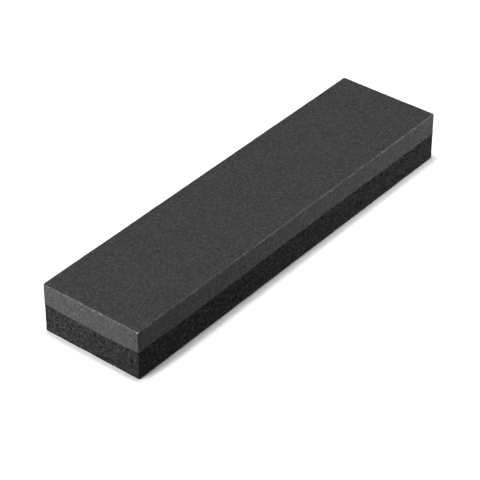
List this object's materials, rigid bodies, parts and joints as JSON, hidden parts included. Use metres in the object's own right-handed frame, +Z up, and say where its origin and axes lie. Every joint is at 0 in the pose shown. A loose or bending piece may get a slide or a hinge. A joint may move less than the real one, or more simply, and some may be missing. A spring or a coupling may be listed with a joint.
{
  "type": "sharpening whetstone",
  "caption": "Rectangular bench whetstone of dark bonded abrasive, with a finer, lighter slab cemented on top of a coarser, darker one, for honing knives and carving tools on either face.",
  "frame": {"origin": "centre of the coarse working face, the flat face on which the stone rests", "axes": "+X along the length, +Y across the width, +Z up, out through the fine working face"},
  "size_m": [0.2, 0.05, 0.0235],
  "materials": {
    "fine_grit": "matt mid-dark grey bonded silicon carbide of fine grit, faint glints",
    "coarse_grit": "matt near-black bonded silicon carbide of coarse grit, open pores, glints",
    "cement": "dark cured epoxy cement, satin"
  },
  "bodies": {
    "root": {"fine_grit_slab": "fine_grit", "coarse_grit_slab": "coarse_grit", "bond_film": "cement"}
  },
  "joints": []
}
